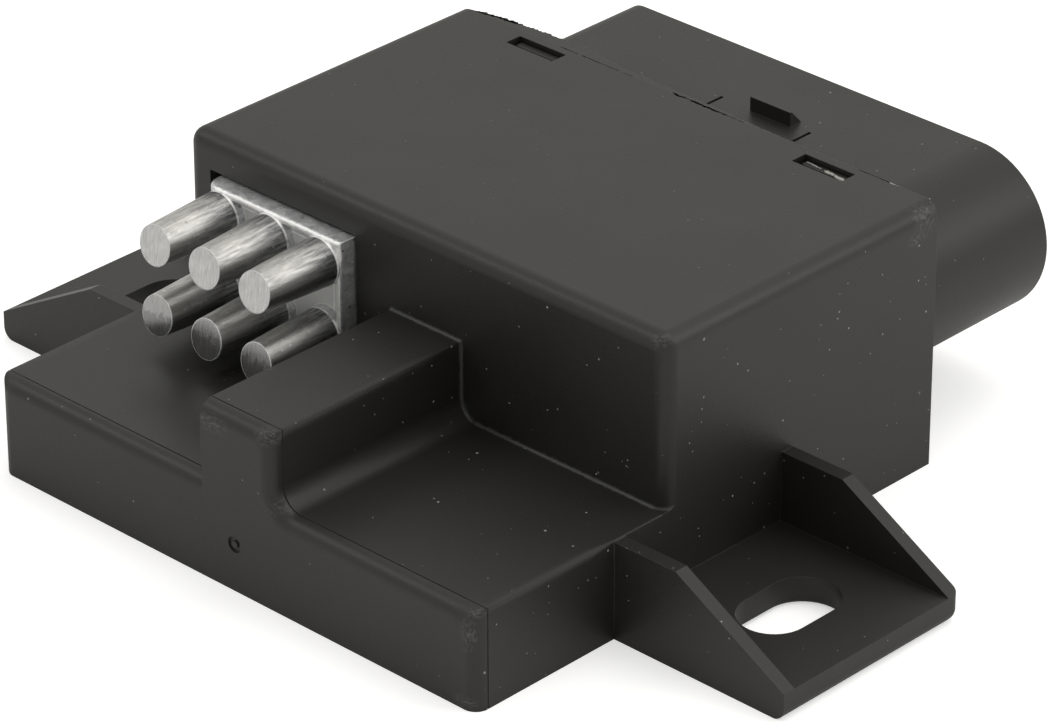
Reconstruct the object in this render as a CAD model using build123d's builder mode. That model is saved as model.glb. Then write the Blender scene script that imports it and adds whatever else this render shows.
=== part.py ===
from build123d import *
import math
import os

os.makedirs("parts", exist_ok=True)

# The origin lies on the underside, midway between the two ear slots.
# +X runs along the row of ears, +Y points at the plug and +Z is up. Sizes are in millimetres.

# Housing: a tall box, open at the rear, with a low base and a hump in front of it.
box_width = 60.0
box_depth = 36.0
box_height = 27.0
box_front_y = -4.9
base_reach = 23.6
base_height = 10.0
base_left_step = 0.6
hump_left_x = -3.6
hump_width = 8.9
hump_height = 17.7
hump_root_radius = 2.0
lower_left_radius = 1.2
edge_radius = 1.5
front_edge_radius = 1.4
wall = 2.0
inner_radius = 1.0

mould_line_width = 0.12
mould_line_depth = 0.1
junction_radius = 0.3

# Fixing ears.
ear_outer_x = 49.65
ear_front_y = -11.3
ear_rear_y = 11.9
ear_thickness = 2.8
ear_corner_radius = 0.8
ear_heel_radius = 1.2
rib_thickness = 1.45
rib_height = 9.8
rib_flat = 7.1
slot_spacing = 80.5
slot_width = 6.65
slot_length = 10.75
slot_bevel = 0.45

# Gate mark on the front face.
gate_x = 0.35
gate_z = 4.8
gate_radius = 0.8
gate_depth = 0.2
gate_stub_radius = 0.35

# Heat sink: a plate with six tapered pins, on a slab behind the front wall.
plate_side_gap = 4.1
plate_width = 17.7
plate_drop = 3.7
plate_lift = 1.0
plate_stand = 1.8
plate_left_radius = 1.6
plate_edge_radius = 0.35
rim_width = 0.55
pocket_depth = 0.7
pin_columns = 3
pin_rows = 2
pin_margin = 2.35
pin_edge_gap = 0.13
pin_row_gap = 2.44
pin_length = 8.8
pin_end_tilt = 9.0
pin_tip_inset = 0.45
window_gap = 0.3
window_left_extra = 0.7
slab_thickness = 3.0
slab_margin = 1.5
seal_thickness = 0.8
seal_plate_gap = 0.15

# Rear closure: a plug plate with the socket's shroud, held by four snap hooks.
closure_gap = 0.15
closure_plate = 3.0
skirt_depth = 3.5
skirt_thickness = 2.0
groove_depth = 1.0
groove_width = 1.8
ring_gap = 0.05
snap_x = 18.0
snap_window_width = 6.0
snap_window_length = 1.9
snap_window_front = 1.05
snap_hook_width = 5.2
snap_hook_gap = 0.15
snap_hook_rise = 1.5
shroud_centre_z = 14.65
shroud_radius = 8.4
shroud_right_x = 28.35
shroud_left_x = -24.7
shroud_left_radius = 2.0
shroud_length = 18.4
shroud_wall = 1.7
shroud_lip = 0.4
latch_left_x = 0.2
latch_width = 5.0
latch_offset = 8.1
latch_height = 1.5
latch_crest = 0.2
latch_length = 1.6
relief_left_x = -3.7
relief_right_x = 7.3
relief_width = 0.35
relief_length = 8.6
relief_depth = 0.6
key_rib_height = 2.0
key_rib_width = 1.2
key_rib_length = 13.0
key_ribs = ((-16.0, -1), (0.0, -1), (16.0, 1))

# Terminals: two rows of flat blades that bend down to the board.
blade_thickness = 0.8
blade_reach = 12.5
power_blade_width = 6.3
signal_blade_width = 2.8
power_columns = (-16.5, -7.5)
signal_columns = (2.0, 8.5, 15.0)
row_spacing = 6.0
lower_leg_back = 5.3
row_leg_step = 2.6
power_leg_width = 2.6
signal_leg_width = 1.4
leg_neck = 4.5
blade_tip = 1.0
tip_bevel = 0.25
bend_radius = 0.4
leg_below_board = 0.9
hole_gap = 0.1
blade_fit = 0.03

# Board and what stands on it.
board_thickness = 1.6
board_lift = 1.6
board_gap = 0.3
rail_width = 1.6
transistor_width = 10.0
transistor_body = 9.0
transistor_depth = 4.4
transistor_tab = 1.3
transistor_tab_height = 15.0
transistor_headroom = 0.6
transistor_gap = 0.6
tab_hole_radius = 1.8
tab_hole_drop = 3.0
body_taper = 3.0
lead_pitch = 2.54
lead_width = 0.8
lead_thickness = 0.5
pad_thickness = 0.4
clip_thickness = 0.6
clip_width = 17.0
clip_stand = 1.6
clip_nose_rise = 4.1
clip_gap = 0.05
can_radius = 4.0
can_height = 16.0
can_bevel = 0.5
can_spacing = 11.5
can_side_gap = 7.7
can_gap = 0.4
choke_side_gap = 13.7
choke_gap = 1.4
choke_outer_radius = 7.0
choke_inner_radius = 3.6
choke_height = 6.0
choke_lift = 0.2
winding_gap = 0.02
wire_thickness = 0.9
wire_turns = 18

# Small surface-mounted parts, given as length, width and height. Each side gap runs from the board's
# nearer side to the part's middle.
controller_size = (10.0, 10.0, 1.5)
controller_side_gap = 13.7
controller_y = -17.5
controller_pitch = 1.5
controller_lead_count = 6
driver_size = (5.0, 4.0, 1.5)
driver_side_gap = 17.7
driver_y = -17.5
driver_pitch = 1.27
driver_lead_count = 4
regulator_size = (6.6, 6.1, 1.5)
regulator_side_gap = 7.2
regulator_y = -17.5
regulator_pitch = 2.3
regulator_lead_count = 3
diode_size = (6.8, 5.8, 1.5)
diode_side_gap = 6.7
diode_y = -8.0
diode_pitch = 3.0
diode_lead_count = 1
lead_reach = 1.0
lead_foot = 0.2
lead_share = 0.4
body_lift = 0.1
crystal_size = (4.6, 11.0, 3.4)
crystal_place = (0.0, 5.5)
crystal_end_radius = 2.1
crystal_bevel = 0.4
shunt_length = 11.0
shunt_width = 4.5
shunt_rise = 1.6
shunt_sheet = 0.8
shunt_foot = 2.0
shunt_slope = 1.0
shunt_side_gap = 18.7
shunt_y = -8.0
ceramic_size = (2.0, 1.3, 1.2)
ceramic_pitch = (3.4, 3.2)
ceramic_count = (4, 2)
ceramic_side_gap = 13.7
ceramic_y = -8.0
resistor_size = (1.6, 0.8, 0.5)
resistor_pitch = (2.8, 2.0)
resistor_count = (5, 2)
resistor_side_gap = 17.7
resistor_y = -23.8

# Width of the band in which a selector takes two heights as one.
hair = 0.01

# Places worked out from the sizes above.
half_width = box_width / 2
box_rear_y = box_front_y + box_depth
box_mid_y = box_front_y + box_depth / 2
base_front_y = box_front_y - base_reach
base_left_x = -half_width - base_left_step
hump_mid_x = hump_left_x + hump_width / 2
seam_half_width = half_width - edge_radius - hair
inner_half_width = half_width - wall
inner_front_y = box_front_y + wall
inner_height = box_height - 2 * wall
slot_x = slot_spacing / 2
rib_slope_x = half_width + rib_flat
plate_left_x = plate_side_gap - half_width
plate_right_x = plate_left_x + plate_width
plate_top_z = box_height - plate_drop
plate_bottom_z = base_height + plate_lift
plate_height = plate_top_z - plate_bottom_z
plate_mid_x = plate_left_x + plate_width / 2
plate_mid_z = (plate_top_z + plate_bottom_z) / 2
pin_root_radius = (plate_height - 2 * pin_edge_gap - (pin_rows - 1) * pin_row_gap) / (2 * pin_rows)
pin_pitch_x = (plate_width - 2 * pin_margin) / (pin_columns - 1)
pin_pitch_z = 2 * pin_root_radius + pin_row_gap
plate_front_y = box_front_y - plate_stand
pin_tip_y = plate_front_y - pin_length
slab_front_y = inner_front_y + seal_thickness
slab_rear_y = slab_front_y + slab_thickness
window_left_x = plate_left_x - window_gap - window_left_extra
window_right_x = plate_right_x + window_gap
window_top_z = plate_top_z + window_gap
window_bottom_z = plate_bottom_z - window_gap
slab_left_x = -inner_half_width + closure_gap
slab_right_x = window_right_x + slab_margin
slab_top_z = window_top_z + slab_margin - window_gap
slab_bottom_z = window_bottom_z - slab_margin
closure_front_y = box_rear_y - closure_plate
skirt_front_y = closure_front_y - skirt_depth
closure_width = 2 * (inner_half_width - closure_gap)
closure_height = inner_height - 2 * closure_gap
closure_radius = inner_radius - closure_gap
closure_mid_z = box_height / 2
snap_window_y = closure_front_y + snap_window_front
shroud_top_z = shroud_centre_z + shroud_radius
board_bottom_z = wall + board_lift
board_top_z = board_bottom_z + board_thickness
board_front_y = base_front_y + wall + board_gap
board_rear_y = skirt_front_y - board_gap
board_half_width = inner_half_width - board_gap
lower_leg_y = closure_front_y - lower_leg_back
upper_leg_front_y = lower_leg_y - row_leg_step - blade_thickness / 2
can_x = can_side_gap - board_half_width
can_y = upper_leg_front_y - can_gap - can_radius
choke_x = board_half_width - choke_side_gap
choke_y = upper_leg_front_y - choke_gap - wire_thickness - choke_outer_radius
controller_place = (controller_side_gap - board_half_width, controller_y)
ceramic_place = (ceramic_side_gap - board_half_width, ceramic_y)
driver_place = (board_half_width - driver_side_gap, driver_y)
regulator_place = (board_half_width - regulator_side_gap, regulator_y)
diode_place = (board_half_width - diode_side_gap, diode_y)
resistor_place = (board_half_width - resistor_side_gap, resistor_y)
shunt_x = board_half_width - shunt_side_gap
pad_rear_y = slab_rear_y + pad_thickness
transistor_rear_y = pad_rear_y + transistor_depth
transistor_bottom_z = box_height - wall - transistor_headroom - transistor_tab_height
transistor_step = transistor_width + transistor_gap
transistor_centre_x = (slab_left_x + slab_right_x) / 2


def facing_front(y):
    """A drawing plane across the object at y, with its X to the right and its Y up."""
    return Plane(origin=(0, y, 0), x_dir=(1, 0, 0), z_dir=(0, -1, 0))


def facing_side(x):
    """A drawing plane along the object at x, with its X along +Y and its Y up."""
    return Plane(origin=(x, 0, 0), x_dir=(0, 1, 0), z_dir=(1, 0, 0))


def at_height(shapes, axis, height):
    """Those of the shapes whose centre lies at a height along an axis."""
    return shapes.filter_by_position(axis, height - hair, height + hair)


def pin_places():
    """Centres of the heat sink's pins on its front."""
    return GridLocations(pin_pitch_x, pin_pitch_z, pin_columns, pin_rows)


def save(name, piece):
    """Labels a finished piece and writes it."""
    piece.part.label = name
    export_step(piece.part, f"parts/{name}.step")


# Front base with its hump, drawn as one rounded section and run back into the box.
with BuildPart() as front_base:
    with BuildSketch(facing_front(base_front_y)) as base_section:
        with Locations(((base_left_x + half_width) / 2, base_height / 2)):
            Rectangle(half_width - base_left_x, base_height)
        with Locations((hump_mid_x, hump_height / 2)):
            Rectangle(hump_width, hump_height)
        base_corners = at_height(vertices(), Axis.Y, base_height).sort_by(Axis.X)
        hump_corners = at_height(vertices(), Axis.Y, hump_height).sort_by(Axis.X)
        fillet(base_corners[2], hump_root_radius)
        fillet(base_corners[0:1] + base_corners[3:] + hump_corners[1:], edge_radius)
    extrude(amount=-(base_reach + edge_radius))
    rim = faces().sort_by(Axis.Y)[0].edges()
    hump_left_edge = rim.filter_by(Axis.Z).filter_by_position(Axis.X, hump_left_x - hair, hump_left_x + hair)
    fillet(rim - hump_left_edge - rim.group_by(Axis.Z)[0], front_edge_radius)

    # Fine line left by the two halves of the mould, just behind the rounded front.
    with BuildSketch(facing_front(base_front_y + front_edge_radius)):
        Rectangle(3 * box_width, 3 * box_height)
        kept = offset(base_section.sketch_local, amount=-mould_line_depth, mode=Mode.PRIVATE)
        add(kept, mode=Mode.SUBTRACT)
    extrude(amount=-mould_line_width, mode=Mode.SUBTRACT)

    # Rounded edge along the lower left.
    with BuildSketch(facing_front(base_front_y)):
        with Locations((base_left_x + lower_left_radius / 2, lower_left_radius / 2)):
            Rectangle(lower_left_radius, lower_left_radius)
        with Locations((base_left_x + lower_left_radius, lower_left_radius)):
            Circle(lower_left_radius, mode=Mode.SUBTRACT)
    extrude(amount=-(base_reach + edge_radius), mode=Mode.SUBTRACT)

# One ear, on the right: a slotted plate between two ribs that slope down to its end.
with BuildPart() as ear:
    ear_root_x = half_width - wall
    with BuildSketch():
        with Locations(((ear_root_x + ear_outer_x) / 2, (ear_front_y + ear_rear_y) / 2)):
            Rectangle(ear_outer_x - ear_root_x, ear_rear_y - ear_front_y)
        fillet(vertices().group_by(Axis.X)[-1].sort_by(Axis.Y)[-1], ear_corner_radius)
    extrude(amount=rib_height)
    with BuildSketch(facing_front(ear_front_y)):
        Polygon(
            (rib_slope_x, rib_height),
            (ear_outer_x, rib_height),
            (ear_outer_x, ear_thickness),
            align=None,
        )
    extrude(amount=-(ear_rear_y - ear_front_y), mode=Mode.SUBTRACT)
    with BuildSketch(Plane.XY.offset(ear_thickness)):
        with Locations(((ear_root_x + ear_outer_x) / 2, (ear_front_y + ear_rear_y) / 2)):
            Rectangle(ear_outer_x - ear_root_x, ear_rear_y - ear_front_y - 2 * rib_thickness)
    extrude(amount=rib_height, mode=Mode.SUBTRACT)
    fillet(edges().group_by(Axis.Z)[0].filter_by(Axis.X).sort_by(Axis.Y)[-1], ear_heel_radius)
    with BuildSketch():
        with Locations((slot_x, 0)):
            SlotOverall(slot_length, slot_width, rotation=90)
    extrude(amount=ear_thickness, mode=Mode.SUBTRACT)
    slot_rim = faces().sort_by(Axis.Z)[0].inner_wires()[0].edges()
    chamfer(slot_rim, slot_bevel)

with BuildPart() as housing:
    with BuildSketch():
        with Locations((0, box_mid_y)):
            Rectangle(box_width, box_depth)
    extrude(amount=box_height)
    front_uprights = edges().filter_by(Axis.Z).group_by(Axis.Y)[0]
    top_rim = edges().group_by(Axis.Z)[-1].sort_by(Axis.Y)[:-1]
    fillet(front_uprights + top_rim, edge_radius)
    add(front_base.part)
    seam = at_height(edges(), Axis.Y, box_front_y)
    seam = seam.filter_by_position(Axis.X, hump_left_x + hair, seam_half_width)
    fillet(seam.filter_by_position(Axis.Z, base_height - hair, hump_height + hair), junction_radius)
    add(ear.part)
    add(mirror(ear.part, about=Plane.YZ, mode=Mode.PRIVATE))

    # Room inside the box, the base and the hump.
    with BuildSketch(facing_front(box_rear_y)):
        with Locations((0, box_height / 2)):
            RectangleRounded(2 * inner_half_width, inner_height, inner_radius)
    extrude(amount=box_depth - wall, mode=Mode.SUBTRACT)
    with BuildSketch(facing_front(base_front_y + wall)):
        with Locations((0, base_height / 2)):
            Rectangle(2 * inner_half_width, base_height - 2 * wall)
        with Locations((hump_mid_x, hump_height / 2)):
            Rectangle(hump_width - 2 * wall, hump_height - 2 * wall)
    extrude(amount=-base_reach, mode=Mode.SUBTRACT)

    # Rails that carry the board.
    with BuildSketch(Plane.XY.offset(wall)):
        for side in (-1, 1):
            with Locations((side * (inner_half_width - rail_width / 2), (board_front_y + board_rear_y) / 2)):
                Rectangle(rail_width, board_rear_y - board_front_y)
    extrude(amount=board_lift)

    # Opening for the heat sink, and four openings for the snap hooks.
    with BuildSketch(facing_front(box_front_y)):
        with Locations(((window_left_x + window_right_x) / 2, (window_top_z + window_bottom_z) / 2)):
            Rectangle(window_right_x - window_left_x, window_top_z - window_bottom_z)
    extrude(amount=-wall, mode=Mode.SUBTRACT)
    with BuildSketch(Plane.XY):
        for side in (-1, 1):
            with Locations((side * snap_x, snap_window_y)):
                Rectangle(snap_window_width, snap_window_length)
    extrude(amount=box_height, mode=Mode.SUBTRACT)

    # Gate mark: a shallow dish with the broken stub of the gate in it.
    with BuildSketch(facing_front(base_front_y)):
        with Locations((gate_x, gate_z)):
            Circle(gate_radius)
            Circle(gate_stub_radius, mode=Mode.SUBTRACT)
    extrude(amount=-gate_depth, mode=Mode.SUBTRACT)
save("housing", housing)

with BuildPart() as heatsink:
    with BuildSketch(facing_front(slab_front_y)):
        with Locations(((slab_left_x + slab_right_x) / 2, (slab_top_z + slab_bottom_z) / 2)):
            RectangleRounded(slab_right_x - slab_left_x, slab_top_z - slab_bottom_z, inner_radius)
    extrude(amount=-slab_thickness)
    with BuildSketch(Plane.XY.offset(plate_bottom_z)):
        with Locations((plate_mid_x, (plate_front_y + slab_front_y) / 2)):
            Rectangle(plate_width, slab_front_y - plate_front_y)
        fillet(vertices().group_by(Axis.Y)[0].sort_by(Axis.X)[0], plate_left_radius)
    extrude(amount=plate_height)
    plate_face = faces().sort_by(Axis.Y)[0]
    fillet(plate_face.edges().filter_by(Axis.X) + plate_face.edges().sort_by(Axis.X)[-1:], plate_edge_radius)
    with BuildSketch(facing_front(plate_front_y)):
        with Locations((plate_mid_x, plate_mid_z)):
            RectangleRounded(plate_width - 2 * rim_width, plate_height - 2 * rim_width, rim_width)
            with pin_places():
                Circle(pin_root_radius, mode=Mode.SUBTRACT)
    extrude(amount=-pocket_depth, mode=Mode.SUBTRACT)
    with Locations(facing_front(plate_front_y)):
        with Locations((plate_mid_x, plate_mid_z)):
            with pin_places():
                Cone(
                    pin_root_radius,
                    pin_root_radius - pin_tip_inset,
                    pin_length,
                    align=(Align.CENTER, Align.CENTER, Align.MIN),
                )

    # Pin ends, trimmed at a slight slant.
    trim_depth = 2 * pin_root_radius * math.tan(math.radians(pin_end_tilt))
    with BuildSketch(facing_side(plate_left_x)):
        with Locations((pin_tip_y, plate_mid_z)):
            with GridLocations(1, pin_pitch_z, 1, pin_rows):
                Polygon(
                    (0, -pin_root_radius),
                    (trim_depth, pin_root_radius),
                    (-trim_depth, pin_root_radius),
                    align=None,
                )
    extrude(amount=plate_width, mode=Mode.SUBTRACT)
save("heatsink", heatsink)

with BuildPart() as heatsink_seal:
    with BuildSketch(facing_front(inner_front_y)):
        with Locations(((slab_left_x + slab_right_x) / 2, (slab_top_z + slab_bottom_z) / 2)):
            RectangleRounded(slab_right_x - slab_left_x, slab_top_z - slab_bottom_z, inner_radius)
        with Locations((plate_mid_x, plate_mid_z)):
            Rectangle(
                plate_width + 2 * seal_plate_gap,
                plate_height + 2 * seal_plate_gap,
                mode=Mode.SUBTRACT,
            )
    extrude(amount=-seal_thickness)
save("heatsink_seal", heatsink_seal)


def shroud_section(inset):
    """The shroud's section, drawn in by inset: half round on the right, with two tight corners on the left."""
    radius = shroud_radius - inset
    left_x = shroud_left_x + inset
    straight_end_x = shroud_right_x - shroud_radius
    with BuildSketch() as section:
        with Locations(((left_x + straight_end_x) / 2, shroud_centre_z)):
            Rectangle(straight_end_x - left_x, 2 * radius)
        fillet(vertices().group_by(Axis.X)[0], shroud_left_radius)
        with Locations((straight_end_x, shroud_centre_z)):
            Circle(radius)
    return section.sketch


def blade_places():
    """Each blade as its name, width, leg width, x, z and the y of its leg."""
    places = []
    for row in range(2):
        blade_z = shroud_centre_z - row_spacing / 2 + row * row_spacing
        leg_y = lower_leg_y - row * row_leg_step
        for blade_x in power_columns:
            places.append(("power", power_blade_width, power_leg_width, blade_x, blade_z, leg_y))
    for row in range(2):
        blade_z = shroud_centre_z - row_spacing / 2 + row * row_spacing
        leg_y = lower_leg_y - row * row_leg_step
        for blade_x in signal_columns:
            places.append(("signal", signal_blade_width, signal_leg_width, blade_x, blade_z, leg_y))
    return places


with BuildPart() as connector_housing:
    with BuildSketch(facing_front(box_rear_y)):
        with Locations((0, closure_mid_z)):
            RectangleRounded(closure_width, closure_height, closure_radius)
    extrude(amount=closure_plate + skirt_depth)
    with BuildSketch(facing_front(closure_front_y)):
        with Locations((0, closure_mid_z)):
            RectangleRounded(
                closure_width - 2 * skirt_thickness,
                closure_height - 2 * skirt_thickness,
                closure_radius,
            )
    extrude(amount=skirt_depth, mode=Mode.SUBTRACT)
    with BuildSketch(facing_front(skirt_front_y + (skirt_depth + groove_width) / 2)):
        with Locations((0, closure_mid_z)):
            RectangleRounded(closure_width, closure_height, closure_radius)
            Rectangle(
                closure_width - 2 * groove_depth,
                closure_height - 2 * groove_depth,
                mode=Mode.SUBTRACT,
            )
    extrude(amount=groove_width, mode=Mode.SUBTRACT)

    # Snap hooks: wedges on the top and the bottom edge of the plate.
    with BuildSketch(facing_side(-snap_hook_width / 2)):
        hook_rear_y = snap_window_y + snap_window_length / 2 - snap_hook_gap
        hook_front_y = snap_window_y - snap_window_length / 2 + snap_hook_gap
        hook_root = closure_height / 2 - snap_hook_rise
        hook_tip = closure_height / 2 + closure_gap + snap_hook_rise
        with Locations((0, closure_mid_z)):
            for up in (1, -1):
                Polygon(
                    (hook_front_y, up * hook_root),
                    (hook_rear_y, up * hook_root),
                    (hook_rear_y, up * hook_tip),
                    ((hook_front_y + hook_rear_y) / 2, up * hook_tip),
                    (hook_front_y, up * closure_height / 2),
                    align=None,
                )
    hooks = extrude(amount=snap_hook_width, mode=Mode.PRIVATE)
    with Locations((-snap_x, 0), (snap_x, 0)):
        add(hooks)

    # Shroud round the socket.
    with BuildSketch(facing_front(box_rear_y)):
        add(shroud_section(0))
    extrude(amount=-shroud_length)
    fillet(faces().sort_by(Axis.Y)[-1].edges(), shroud_lip)
    with BuildSketch(facing_front(box_rear_y)):
        add(shroud_section(shroud_wall))
    extrude(amount=-shroud_length, mode=Mode.SUBTRACT)

    # Key ribs on the socket's floor and ceiling.
    with BuildSketch(facing_front(box_rear_y)):
        key_rib_z = shroud_radius - shroud_wall - key_rib_height / 2
        for rib_x, side in key_ribs:
            with Locations((rib_x, shroud_centre_z + side * key_rib_z)):
                Rectangle(key_rib_width, key_rib_height)
    extrude(amount=-key_rib_length)

    # Latch nose on top of the shroud, with two relief grooves beside it.
    with BuildSketch(facing_side(latch_left_x)):
        latch_y = box_rear_y + latch_offset
        Polygon(
            (latch_y, shroud_top_z - shroud_wall / 2),
            (latch_y, shroud_top_z + latch_height),
            (latch_y + latch_crest, shroud_top_z + latch_height),
            (latch_y + latch_length, shroud_top_z),
            (latch_y + latch_length, shroud_top_z - shroud_wall / 2),
            align=None,
        )
    extrude(amount=latch_width)
    with BuildSketch(Plane.XY.offset(shroud_top_z - relief_depth)):
        for relief_x in (relief_left_x, relief_right_x):
            with Locations((relief_x, box_rear_y + relief_length / 2)):
                Rectangle(relief_width, relief_length)
    extrude(amount=relief_depth, mode=Mode.SUBTRACT)

    # Slots that the blades pass through.
    with BuildSketch(facing_front(box_rear_y)):
        for kind, blade_width, leg_width, blade_x, blade_z, leg_y in blade_places():
            with Locations((blade_x, blade_z)):
                Rectangle(blade_width + 2 * blade_fit, blade_thickness + 2 * blade_fit)
    extrude(amount=closure_plate, mode=Mode.SUBTRACT)
save("connector_housing", connector_housing)

with BuildPart() as perimeter_seal:
    with BuildSketch(facing_front(skirt_front_y + (skirt_depth + groove_width) / 2 - ring_gap)):
        with Locations((0, closure_mid_z)):
            RectangleRounded(2 * (inner_half_width - ring_gap), inner_height - 2 * ring_gap, inner_radius)
            Rectangle(
                closure_width - 2 * groove_depth + 2 * ring_gap,
                closure_height - 2 * groove_depth + 2 * ring_gap,
                mode=Mode.SUBTRACT,
            )
    extrude(amount=groove_width - 2 * ring_gap)
save("perimeter_seal", perimeter_seal)

# Blades, bent down to the board behind the closure.
blade_counts = {"power": 0, "signal": 0}
for kind, blade_width, leg_width, blade_x, blade_z, leg_y in blade_places():
    blade_counts[kind] += 1
    tip_y = box_rear_y + blade_reach
    foot_z = board_bottom_z - leg_below_board
    lower_z = blade_z - blade_thickness / 2
    upper_z = blade_z + blade_thickness / 2
    notch_width = (blade_width - leg_width) / 2
    with BuildPart() as terminal:
        with BuildSketch(facing_side(blade_x - blade_width / 2)):
            with BuildLine():
                Polyline(
                    (tip_y, lower_z),
                    (tip_y, upper_z),
                    (leg_y - blade_thickness / 2, upper_z),
                    (leg_y - blade_thickness / 2, foot_z),
                    (leg_y + blade_thickness / 2, foot_z),
                    (leg_y + blade_thickness / 2, lower_z),
                    close=True,
                )
            make_face()
            fillet(at_height(vertices(), Axis.Y, upper_z).sort_by(Axis.X)[0], blade_thickness + bend_radius)
            fillet(at_height(vertices(), Axis.Y, lower_z).sort_by(Axis.X)[0], bend_radius)
        extrude(amount=blade_width)
        with BuildSketch(facing_front(leg_y)):
            for side in (-1, 1):
                notch_x = blade_x + side * (leg_width + notch_width) / 2
                with Locations((notch_x, (foot_z + blade_z - leg_neck) / 2)):
                    Rectangle(notch_width, blade_z - leg_neck - foot_z)
        extrude(amount=blade_thickness, both=True, mode=Mode.SUBTRACT)
        chamfer(faces().sort_by(Axis.Y)[-1].edges().filter_by(Axis.X), tip_bevel)
        chamfer(edges().filter_by(Axis.Z).group_by(Axis.Y)[-1], blade_tip / 2)
    save(f"{kind}_terminal_{blade_counts[kind]}", terminal)

transistor_places = (transistor_centre_x - transistor_step / 2, transistor_centre_x + transistor_step / 2)
lead_y = pad_rear_y + transistor_depth / 2
clip_y = transistor_rear_y + clip_stand

with BuildPart() as circuit_board:
    with BuildSketch(Plane.XY.offset(board_bottom_z)):
        with Locations((0, (board_front_y + board_rear_y) / 2)):
            Rectangle(2 * board_half_width, board_rear_y - board_front_y)
        for kind, blade_width, leg_width, blade_x, blade_z, leg_y in blade_places():
            with Locations((blade_x, leg_y)):
                Rectangle(leg_width + 2 * hole_gap, blade_thickness + 2 * hole_gap, mode=Mode.SUBTRACT)
        for transistor_x in transistor_places:
            with Locations((transistor_x, lead_y)):
                with GridLocations(lead_pitch, 1, 3, 1):
                    Rectangle(lead_width + 2 * hole_gap, lead_thickness + 2 * hole_gap, mode=Mode.SUBTRACT)
    extrude(amount=board_thickness)
save("circuit_board", circuit_board)

with BuildPart() as thermal_pad:
    with BuildSketch(facing_front(slab_rear_y)):
        with Locations((transistor_centre_x, transistor_bottom_z + transistor_tab_height / 2)):
            Rectangle(2 * transistor_width + transistor_gap, transistor_tab_height)
    extrude(amount=-pad_thickness)
save("thermal_pad", thermal_pad)

for number, transistor_x in enumerate(transistor_places, 1):
    with BuildPart() as transistor:
        with BuildSketch(facing_front(pad_rear_y)):
            with Locations((transistor_x, transistor_bottom_z + transistor_tab_height / 2)):
                Rectangle(transistor_width, transistor_tab_height)
            with Locations((transistor_x, transistor_bottom_z + transistor_tab_height - tab_hole_drop)):
                Circle(tab_hole_radius, mode=Mode.SUBTRACT)
        extrude(amount=-transistor_tab)
        with BuildSketch(facing_front(pad_rear_y + transistor_tab)):
            with Locations((transistor_x, transistor_bottom_z + transistor_body / 2)):
                Rectangle(transistor_width, transistor_body)
        extrude(amount=-(transistor_depth - transistor_tab), taper=body_taper)
        with BuildSketch(Plane.XY.offset(board_bottom_z - leg_below_board)):
            with Locations((transistor_x, lead_y)):
                with GridLocations(lead_pitch, 1, 3, 1):
                    Rectangle(lead_width, lead_thickness)
        extrude(amount=transistor_bottom_z - board_bottom_z + leg_below_board + transistor_tab)
    save(f"power_transistor_{number}", transistor)

with BuildPart() as transistor_clip:
    with BuildSketch(facing_side(transistor_centre_x - clip_width / 2)):
        clip_nose_z = transistor_bottom_z + clip_nose_rise
        with BuildLine():
            nose_y = transistor_rear_y + clip_thickness / 2 + clip_gap
            clip_line = Polyline(
                (clip_y - clip_stand, board_top_z + clip_thickness / 2),
                (clip_y, board_top_z + clip_thickness / 2),
                (clip_y, board_top_z + clip_stand),
                (nose_y, clip_nose_z),
                (nose_y + clip_stand / 2, clip_nose_z + clip_stand),
            )
        trace(clip_line, line_width=clip_thickness)
    extrude(amount=clip_width)
save("transistor_clip", transistor_clip)

for number in range(2):
    with BuildPart() as can:
        with BuildSketch(Plane.XY.offset(board_top_z)):
            with Locations((can_x + number * can_spacing, can_y)):
                Circle(can_radius)
        extrude(amount=can_height)
        chamfer(faces().sort_by(Axis.Z)[-1].edges(), can_bevel)
    save(f"capacitor_{number + 1}", can)

choke_bottom_z = board_top_z + wire_thickness + choke_lift
with BuildPart() as choke_core:
    with BuildSketch(Plane.XY.offset(choke_bottom_z)):
        with Locations((choke_x, choke_y)):
            Circle(choke_outer_radius)
            Circle(choke_inner_radius, mode=Mode.SUBTRACT)
    extrude(amount=choke_height)
save("choke_core", choke_core)

with BuildPart() as choke_winding:
    with Locations((choke_x, choke_y, 0)):
        with PolarLocations(0, wire_turns):
            loop_width = choke_outer_radius - choke_inner_radius
            with Locations((choke_inner_radius + loop_width / 2, 0, choke_bottom_z + choke_height / 2)):
                Box(loop_width + 2 * wire_thickness, wire_thickness, choke_height + 2 * wire_thickness)
    with BuildSketch(Plane.XY.offset(choke_bottom_z - winding_gap)):
        with Locations((choke_x, choke_y)):
            Circle(choke_outer_radius + winding_gap)
            Circle(choke_inner_radius - winding_gap, mode=Mode.SUBTRACT)
    extrude(amount=choke_height + 2 * winding_gap, mode=Mode.SUBTRACT)
save("choke_winding", choke_winding)


def chip(name, size, place, pitch, leads, four_sided):
    """A moulded chip on the board, with flat leads along two or four of its sides."""
    with BuildPart() as body:
        with Locations((place[0], place[1], board_top_z + body_lift + size[2] / 2)):
            Box(*size)
        chamfer(faces().sort_by(Axis.Z)[-1].edges(), body_lift)
        with Locations((place[0], place[1], board_top_z + lead_foot / 2)):
            with GridLocations(1, pitch, 1, leads):
                Box(size[0] + 2 * lead_reach, lead_share * pitch, lead_foot)
            if four_sided:
                with GridLocations(pitch, 1, leads, 1):
                    Box(lead_share * pitch, size[1] + 2 * lead_reach, lead_foot)
    save(name, body)


def blocks(name, size, place, pitch, count):
    """A field of like small parts that stand on the board."""
    with BuildPart() as field:
        with Locations((place[0], place[1], board_top_z + size[2] / 2)):
            with GridLocations(*pitch, *count):
                Box(*size)
    save(name, field)


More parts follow.
